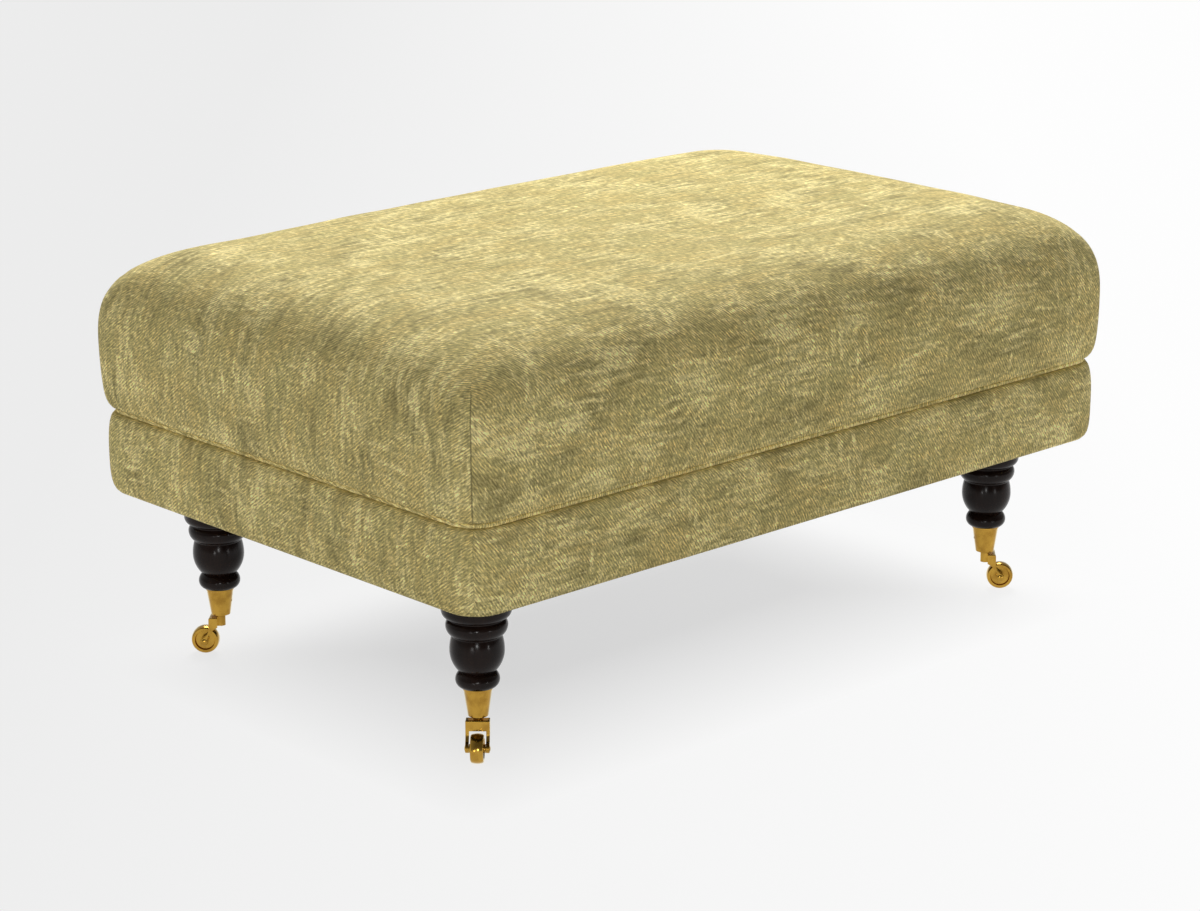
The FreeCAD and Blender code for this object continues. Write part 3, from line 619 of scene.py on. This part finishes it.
def shownShare(s, points):
    # 1 on the border's outside, and 0 on its hem, its top and the wall against the rails
    x, y, high = np.abs(points[:, 0]), np.abs(points[:, 1]), points[:, 2]
    outside = np.maximum(x - (borderHigh.x - s["skinDepth"]), y - (borderHigh.y - s["skinDepth"]))
    roundX = np.clip(x - (borderHigh.x - s["cornerRadius"]), 0, None)
    roundY = np.clip(y - (borderHigh.y - s["cornerRadius"]), 0, None)
    corner = np.hypot(roundX, roundY) > s["cornerSkin"]
    shown = (smooth(0.0, s["skinFade"], outside) + corner).clip(0, 1)
    shown = shown * smooth(borderLow.z + s["lowFade"][0], borderLow.z + s["lowFade"][1], high)
    return shown * (1 - smooth(borderHigh.z - s["highFade"], borderHigh.z, high))


def makeBorder(s):
    halves = (borderHigh.x, borderHigh.y)
    piece = coveredBlock("borderCover", halves, borderRings(s), panelShares(s), looped=True)
    points, gap = pointsOf(piece), markOf(piece, "seamGap")
    shown = shownShare(s, points)
    grown = [borderHigh.z + rise for rise in s["puckerRise"]]
    puckers = s["puckers"] * unevenness(points, s["puckerSize"], 23) * smooth(*grown, points[:, 2])
    seams = bell(gap, *s["valley"]) + bell(gap, *s["shoulder"])
    pushOut(piece, (seams + gentleWaves(points, s, 21) + puckers) * shown)
    setMark(piece, "seamGap", gap + (1 - shown) * s["hiddenGap"])
    piece.data.materials.append(borderVelvet)
    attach(piece, "stool")
    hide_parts("border_cover", "border_padding")


makeBorder(borderBand)
print("stage: border")


# Piping: a covered cord sewn in between the seat and the border, with its flange

pipingLow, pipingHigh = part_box("seam_piping")
pipingBand = {
    "radius": 0.0024,
    "cornerRadius": 0.031,
    "flatness": 2.6,
    "wrap": 0.93,
    "flange": 0.0095,
    "flangeHalf": 0.0005,
    "around": 20,
    "panelHalves": (0.4733, 0.3073),
    "fineColumn": 0.0028,
    "coarseColumn": 0.006,
    "fineReach": 0.05,
}


def makePiping(s):
    # A superellipse section carried round a rectangle with round corners, with a thin tail inwards
    centre = (pipingLow.z + pipingHigh.z) / 2
    halves = (pipingHigh.x - s["radius"], pipingHigh.y - s["radius"])
    angle = np.linspace(math.pi * s["wrap"], -math.pi * s["wrap"], s["around"] + 1)
    circle = np.stack([np.cos(angle), np.sin(angle)], axis=1)
    cord = s["radius"] * np.sign(circle) * np.abs(circle) ** (2 / s["flatness"])
    tail = [(-s["flange"], s["flangeHalf"]), (-s["flange"], -s["flangeHalf"])]
    section = np.concatenate([cord[::-1], tail])
    rings = np.stack([-section[:, 0], centre + section[:, 1], s["cornerRadius"] + section[:, 0]], axis=1)
    piece = coveredBlock("seamPiping", halves, rings, panelShares(s), looped=True)
    piece.data.materials.append(pipingVelvet)
    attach(piece, "stool")
    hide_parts("seam_piping")


makePiping(pipingBand)
print("stage: piping")


# Dust cover: a thin black lining stapled under the frame, a little slack between its edges

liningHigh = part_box("dust_cover")[1]
dustCover = {
    "cell": 0.006,
    "slack": 0.0018,
    "thickness": 0.0008,
    "legPlace": (0.400, 0.224),
    "edgeHold": (0.030, 0.12),
    "legHold": (0.045, 0.15),
    "rippleSize": 0.12,
}


def liningMaterial():
    # Spun black lining: short pressed fibres and a fine grid of spot bonds
    material, tree, shader = newMaterial("liningCloth")
    place = objectPlace(tree)
    fibres = noise(tree, stretched(tree, place, (900, 260, 400)), detail=4, rough=0.7)
    grid = {"Vector": place, "Scale": 900.0, "Randomness": 0.15}
    spots = put(tree, "ShaderNodeTexVoronoi", grid).outputs["Distance"]
    colour = blendColour(tree, remap(tree, fibres, 0.3, 0.75), (0.014, 0.014, 0.015), (0.045, 0.045, 0.047))
    height = plus(tree, fibres, remap(tree, spots, 0.1, 0.4, -0.4, 0.4))
    look = {
        "Base Color": colour,
        "Normal": bumpOf(tree, height, 0.4, 0.0003),
        "Roughness": remap(tree, fibres, 0.2, 0.8, 0.62, 0.85),
        "Specular IOR Level": 0.3,
    }
    joinUp(tree, shader, look)
    return material


def makeDustCover(s):
    # A grid z = high - slack * (1 + ripple / 2), pulled flat at its edges and round the legs
    halfX, halfY = liningHigh.x, liningHigh.y
    columns, rows = (int(round(2 * half / s["cell"])) for half in (halfX, halfY))
    x, y = np.meshgrid(np.linspace(-halfX, halfX, columns + 1), np.linspace(-halfY, halfY, rows + 1))
    edge = np.minimum(halfX - np.abs(x), halfY - np.abs(y))
    legs = np.hypot(np.abs(x) - s["legPlace"][0], np.abs(y) - s["legPlace"][1])
    free = smooth(*s["edgeHold"], edge) * smooth(*s["legHold"], legs)
    flat = np.stack([x.ravel(), y.ravel(), np.zeros(x.size)], axis=1)
    ripple = unevenness(flat, s["rippleSize"], 31).reshape(x.shape)
    z = liningHigh.z - 0.0001 - s["slack"] * free * (1 + 0.5 * ripple)
    top = np.stack([x, y, z], axis=-1).reshape(-1, 3)
    bottom = top - (0, 0, s["thickness"])
    index = np.arange(top.shape[0]).reshape(x.shape)
    quads = cellCorners(index).reshape(-1, 4)
    rim = np.concatenate([index[0, :-1], index[:-1, -1], index[-1, :0:-1], index[:0:-1, 0]])
    walls = np.stack([rim + len(top), np.roll(rim, -1) + len(top), np.roll(rim, -1), rim], axis=1)
    faces = np.concatenate([quads, quads[:, ::-1] + len(top), walls])
    points = np.concatenate([top, bottom])
    piece = putMesh("dustCover", points, faces, points[faces][..., :2])
    piece.data.materials.append(liningCloth)
    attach(piece, "stool")
    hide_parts("dust_cover")


liningCloth = liningMaterial()
makeDustCover(dustCover)
print("stage: dust cover")


# Wood, brass and the plain inner parts, which are the CAD nodes with their finishes

def woodGrainGroup():
    # Long grain: noise drawn out along Z of the vector, sharpened into lines, with small pores
    inputs = [("Along", "vector", None), ("Ring Scale", "number", 60.0)]
    group, given, end = newGroup("woodGrain", inputs, ["Grain", "Pores"])
    drawn = stretched(group, given["Along"], (1.0, 1.0, 0.06))
    rings = noise(group, drawn, given["Ring Scale"], 4.0, 0.6, 0.6)
    pores = noise(group, stretched(group, given["Along"], (1500, 1500, 60)), detail=1)
    joinUp(group, end, {"Grain": rings, "Pores": remap(group, pores, 0.62, 0.78)})
    return group


def fineScratchGroup():
    # Handling marks on metal: fine scratches in two directions and soft smudges
    inputs = [("Place", "vector", None), ("Smudge Scale", "number", 90.0)]
    group, given, end = newGroup("fineScratches", inputs, ["Scratch", "Smudge"])
    first = noise(group, stretched(group, given["Place"], (2600, 140, 900), 0.5), detail=1)
    second = noise(group, stretched(group, given["Place"], (160, 2400, 800), 1.1), detail=1)
    lines = calc(group, "MAXIMUM", remap(group, first, 0.62, 0.72), remap(group, second, 0.64, 0.74))
    smudge = noise(group, given["Place"], given["Smudge Scale"], 3.0, 0.55)
    joinUp(group, end, {"Scratch": lines, "Smudge": smudge})
    return group


def threadWeaveGroup():
    # Plain weave: two sets of threads take turns on top, (1 + sin(pi n x) sin(pi n y)) / 2
    inputs = [("Place", "vector", None), ("Threads", "number", 400.0)]
    group, given, end = newGroup("threadWeave", inputs, ["Weave", "Fleck"])
    parts = put(group, "ShaderNodeSeparateXYZ", {"Vector": given["Place"]}).outputs
    counted = [times(group, parts[axis], given["Threads"]) for axis in "XY"]
    across, down = (calc(group, "SINE", times(group, count, math.pi)) for count in counted)
    weave = calc(group, "MULTIPLY_ADD", times(group, across, down), 0.5, 0.5)
    fleck = noise(group, given["Place"], given["Threads"], 3.0)
    joinUp(group, end, {"Weave": weave, "Fleck": fleck})
    return group


woodGrain, fineScratches, threadWeave = woodGrainGroup(), fineScratchGroup(), threadWeaveGroup()
lacquerLook = {
    "dark": (0.0100, 0.0046, 0.0030),
    "brown": (0.020, 0.0095, 0.0065),
    "rough": 0.19,
    "specular": 0.16,
}
brassLook = {
    "gold": (0.53, 0.31, 0.052),
    "tarnish": (0.37, 0.20, 0.032),
    # painted highlight colour, blended in where the brass is seen edge on
    "edge": (1.0, 0.90, 0.56),
    "rough": 0.20,
}
steelLook = {"pale": (0.56, 0.56, 0.55), "dull": (0.40, 0.40, 0.39)}
timberLook = {"early": (0.62, 0.43, 0.25), "late": (0.40, 0.24, 0.11)}


def lacquerMaterial(s):
    # Dark stained wood under a smooth lacquer
    material, tree, shader = newMaterial("espressoLacquer")
    place = objectPlace(tree)
    grain = useGroup(tree, woodGrain, {"Along": place, "Ring Scale": 55.0})
    colour = blendColour(tree, remap(tree, grain["Grain"], 0.35, 0.7), s["dark"], s["brown"])
    colour = blendColour(tree, times(tree, grain["Pores"], 0.6), colour, (0.004, 0.002, 0.0016))
    skin = noise(tree, place, 130.0, 3.0)
    look = {
        "Base Color": colour,
        "Normal": bumpOf(tree, plus(tree, skin, times(tree, grain["Grain"], 0.4)), 0.03, 0.0003),
        "Roughness": remap(tree, skin, 0.3, 0.7, s["rough"] - 0.03, s["rough"] + 0.05),
        "Specular IOR Level": s["specular"],
    }
    joinUp(tree, shader, look)
    return material


def brassMaterial(s):
    # Polished brass, a little tarnished, with a painted highlight: it turns pale cream where it is seen edge
    # on
    material, tree, shader = newMaterial("polishedBrass")
    marks = useGroup(tree, fineScratches, {"Place": objectPlace(tree), "Smudge Scale": 80.0})
    colour = blendColour(tree, remap(tree, marks["Smudge"], 0.35, 0.75), s["gold"], s["tarnish"])
    # painted highlight: the colour turns to the pale edge colour as the surface turns edge on to the camera
    rim = put(tree, "ShaderNodeLayerWeight", {"Blend": 0.5}).outputs["Facing"]
    colour = blendColour(tree, remap(tree, rim, 0.55, 0.95), colour, s["edge"])
    smudged = remap(tree, marks["Smudge"], 0.3, 0.7, s["rough"] - 0.05, s["rough"] + 0.06)
    look = {
        "Base Color": colour,
        "Metallic": 1.0,
        "Roughness": plus(tree, smudged, times(tree, marks["Scratch"], 0.08)),
        "Normal": bumpOf(tree, marks["Scratch"], 0.05, 0.0001),
    }
    joinUp(tree, shader, look)
    return material


def steelMaterial(s):
    material, tree, shader = newMaterial("platedSteel")
    marks = useGroup(tree, fineScratches, {"Place": objectPlace(tree), "Smudge Scale": 120.0})
    look = {
        "Base Color": blendColour(tree, remap(tree, marks["Smudge"], 0.35, 0.75), s["pale"], s["dull"]),
        "Metallic": 1.0,
        "Roughness": remap(tree, marks["Smudge"], 0.3, 0.7, 0.28, 0.42),
        "Normal": bumpOf(tree, marks["Scratch"], 0.08, 0.0001),
    }
    joinUp(tree, shader, look)
    return material


def timberMaterial(name, alongAxis, s):
    # Planed pale hardwood; the grain runs along the named axis of the piece
    material, tree, shader = newMaterial(name)
    turn = {"X": (0.0, math.pi / 2, 0.0), "Y": (math.pi / 2, 0.0, 0.0), "Z": (0.0, 0.0, 0.0)}[alongAxis]
    along = put(tree, "ShaderNodeMapping", {"Vector": objectPlace(tree), "Rotation": turn}).outputs["Vector"]
    grain = useGroup(tree, woodGrain, {"Along": along, "Ring Scale": 38.0})
    colour = blendColour(tree, remap(tree, grain["Grain"], 0.38, 0.66), s["early"], s["late"])
    look = {
        "Base Color": blendColour(tree, times(tree, grain["Pores"], 0.5), colour, (0.20, 0.11, 0.05)),
        "Normal": bumpOf(tree, grain["Grain"], 0.25, 0.0003),
        "Roughness": remap(tree, grain["Grain"], 0.3, 0.7, 0.55, 0.7),
    }
    joinUp(tree, shader, look)
    return material


def wovenMaterial(name, threads, first, second, rough):
    material, tree, shader = newMaterial(name)
    weave = useGroup(tree, threadWeave, {"Place": objectPlace(tree), "Threads": threads})
    colour = blendColour(tree, times(tree, weave["Weave"], weave["Fleck"]), first, second)
    normal = bumpOf(tree, weave["Weave"], 0.5, 0.0004)
    joinUp(tree, shader, {"Base Color": colour, "Normal": normal, "Roughness": rough})
    return material


finishes = {
    "lacquer": lacquerMaterial(lacquerLook),
    "brass": brassMaterial(brassLook),
    "steel": steelMaterial(steelLook),
    "timberX": timberMaterial("timberAlongX", "X", timberLook),
    "timberY": timberMaterial("timberAlongY", "Y", timberLook),
    "timberZ": timberMaterial("timberAlongZ", "Z", timberLook),
    "felt": wovenMaterial("greyFelt", 700.0, (0.16, 0.155, 0.15), (0.30, 0.29, 0.28), 0.95),
    "webbing": wovenMaterial("juteWebbing", 620.0, (0.30, 0.22, 0.12), (0.55, 0.44, 0.28), 0.85),
}


def finishOf(node):
    if node.startswith("leg_"):
        return "lacquer"
    if "webbing" in node:
        return "webbing"
    if node in ("front_rail", "back_rail"):
        return "timberX"
    if node in ("left_rail", "right_rail", "centre_rail", "rail_dowels"):
        return "timberY"
    if node == "corner_blocks":
        return "timberZ"
    if node == "platform_felt":
        return "felt"
    return "steel" if node in ("block_screws", "tee_nuts", "hanger_bolts") else "brass"


for name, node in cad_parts.items():
    if not node.hide_render:
        node.material_slots[0].material = finishes[finishOf(name)]
print("stage: finishes")


# Studio: pale floor and sky, a large soft light high behind the stool, small ones for the legs' gloss

# Each box is (azimuth, elevation, distance, size, power). The depths of the shadow's fade are
# measured inwards from the edge of the stool's plan.
studio = {
    # floorLeft and floorRight are the floor's painted glow, darker to the left; floorOwnLight is the glow's
    # share deep under the stool
    "floorHalf": 14.0,
    "floorLeft": 0.84,
    "floorRight": 0.985,
    "floorReach": 0.75,
    "floorOwnLight": 0.60,
    "floorColour": 0.84,
    "floorLit": 0.68,
    "shadowFade": (-0.035, 0.25),
    "shadowBlend": 0.06,
    "skyFront": 0.27,
    "skyBack": 0.85,
    "skyBackRange": (-0.6, 0.8),
    "skyLeft": 0.45,
    "skyLeftRange": (0.1, 0.9),
    "skySeen": 0.985,
    "skyPower": 0.5,
    "overhead": 138.0,
    "overheadSize": 2.0,
    "overheadPlace": (1.60, 1.78, 3.1),
    "overheadAim": (0.0, 0.0, 0.2),
    "boxAim": (0.0, 0.0, 0.12),
    "boxes": [(-42.6, 7.0, 3.4, 0.22, 9.0), (-60.6, 0.0, 3.0, 0.16, 3.0), (0.4, 1.0, 3.0, 0.16, 3.0)],
}
photoView = {
    "azimuth": -42.62,
    "elevation": 16.45,
    "distance": 3.933,
    "roll": -0.38,
    "lens": 101.76,
    "sensor": 36.0,
    "target": (0.0007, 0.0211, 0.1945),
}


def outward(azimuth, elevation):
    # The direction from the stool towards a place, from angles in radians; azimuth 0 is the front
    level = math.cos(elevation)
    return Vector((math.sin(azimuth) * level, -math.cos(azimuth) * level, math.sin(elevation)))


def makeCamera(s):
    azimuth, elevation, roll = (math.radians(s[key]) for key in ("azimuth", "elevation", "roll"))
    back = outward(azimuth, elevation)
    right = Vector((math.cos(azimuth), math.sin(azimuth), 0.0))
    up = back.cross(right)
    right, up = right * math.cos(roll) + up * math.sin(roll), up * math.cos(roll) - right * math.sin(roll)
    camera = bpy.data.objects.new("camera", bpy.data.cameras.new("camera"))
    camera.data.lens = s["lens"]
    camera.data.sensor_width = s["sensor"]
    camera.data.clip_end = 200.0
    turned = Matrix((right, up, back)).transposed().to_4x4()
    turned.translation = Vector(s["target"]) + back * s["distance"]
    camera.matrix_world = turned
    bpy.context.scene.collection.objects.link(camera)
    bpy.context.scene.camera = camera


def makeFloor(s):
    # The floor glows with painted light of its own, a pale tone darker to the left, for the camera and for
    # reflections, and takes the real shadow only in its share that does not glow
    half = s["floorHalf"]
    points = np.array([(-half, -half, 0), (half, -half, 0), (half, half, 0), (-half, half, 0)], float)
    floor = putMesh("floor", points, np.array([[0, 1, 2, 3]]))
    material = bpy.data.materials.new("paleFloor")
    material.use_nodes = True
    tree = material.node_tree
    tree.nodes.clear()
    place = objectPlace(tree)
    azimuth = math.radians(photoView["azimuth"])
    across = alongWay(tree, place, (math.cos(azimuth), math.sin(azimuth), 0.0))
    tone = remap(tree, across, -s["floorReach"], s["floorReach"], s["floorLeft"], s["floorRight"], soft=False)
    rays = put(tree, "ShaderNodeLightPath").outputs
    seen = calc(tree, "MAXIMUM", rays["Is Glossy Ray"], rays["Is Transmission Ray"])
    seen = calc(tree, "MAXIMUM", rays["Is Camera Ray"], seen)
    # painted light fills the shadow in: the glow's share grows to the whole towards the edge of the stool's
    # own plan, so the shadow fades out there. The depth inside the plan is the smaller of halfX - |x| and
    # halfY - |y|
    parts = put(tree, "ShaderNodeSeparateXYZ", {"Vector": place}).outputs
    depthX = calc(tree, "SUBTRACT", seatHigh.x, calc(tree, "ABSOLUTE", parts["X"]))
    depthY = calc(tree, "SUBTRACT", seatHigh.y, calc(tree, "ABSOLUTE", parts["Y"]))
    inside = calc(tree, "SMOOTH_MIN", depthX, depthY, s["shadowBlend"])
    # painted light: outside the plan the glow takes the whole floor and hides the cast shadow
    share = remap(tree, inside, *s["shadowFade"], 1.0, s["floorOwnLight"], soft=False)
    # own light = (tone - (1 - share) * lit floor) / share, so that the floor meets the tone where
    # nothing shades it
    rest = times(tree, calc(tree, "SUBTRACT", 1.0, share), s["floorLit"])
    strength = calc(tree, "DIVIDE", calc(tree, "SUBTRACT", tone, rest), share)
    matt = put(tree, "ShaderNodeBsdfDiffuse", {"Color": (s["floorColour"],) * 3 + (1.0,)}).outputs[0]
    own = put(tree, "ShaderNodeEmission", {"Color": (1.0, 1.0, 1.0, 1.0), "Strength": strength}).outputs[0]
    mixed = put(tree, "ShaderNodeMixShader", {0: times(tree, seen, share), 1: matt, 2: own}).outputs[0]
    put(tree, "ShaderNodeOutputMaterial", {"Surface": mixed})
    floor.data.materials.append(material)


def makeSky(s):
    # The sky lights the stool more from the back and the left of the photo's view
    world = bpy.data.worlds.new("studio")
    bpy.context.scene.world = world
    world.use_nodes = True
    tree = world.node_tree
    azimuth = math.radians(photoView["azimuth"])
    way = put(tree, "ShaderNodeTexCoord").outputs["Generated"]
    toBack = alongWay(tree, way, (-math.sin(azimuth), math.cos(azimuth), 0.0))
    toLeft = alongWay(tree, way, (-math.cos(azimuth), -math.sin(azimuth), 0.0))
    backTone = remap(tree, toBack, *s["skyBackRange"], s["skyFront"], s["skyBack"])
    tone = plus(tree, backTone, remap(tree, toLeft, *s["skyLeftRange"], 0.0, s["skyLeft"]))
    # seen past the floor's edge the sky is as pale as the floor
    rays = put(tree, "ShaderNodeLightPath").outputs
    tone = remap(tree, rays["Is Camera Ray"], 0.0, 1.0, tone, s["skySeen"] / s["skyPower"], soft=False)
    joinUp(tree, tree.nodes["Background"], {"Color": greyOf(tree, tone), "Strength": s["skyPower"]})


def addLight(name, place, aim, size, power):
    light = bpy.data.objects.new(name, bpy.data.lights.new(name, "AREA"))
    light.data.shape = "SQUARE"
    light.data.size = size
    light.data.energy = power
    light.location = place
    light.rotation_euler = (Vector(aim) - Vector(place)).to_track_quat("-Z", "Y").to_euler()
    bpy.context.scene.collection.objects.link(light)


def makeLights(s):
    addLight("overhead", s["overheadPlace"], s["overheadAim"], s["overheadSize"], s["overhead"])
    for number, (azimuth, elevation, distance, size, power) in enumerate(s["boxes"]):
        way = outward(math.radians(azimuth), math.radians(elevation))
        addLight(f"glossBox{number}", way * distance + Vector(s["boxAim"]), s["boxAim"], size, power)


bpy.context.scene.view_settings.view_transform = "Standard"
makeCamera(photoView)
makeFloor(studio)
makeSky(studio)
makeLights(studio)
print("stage: studio")
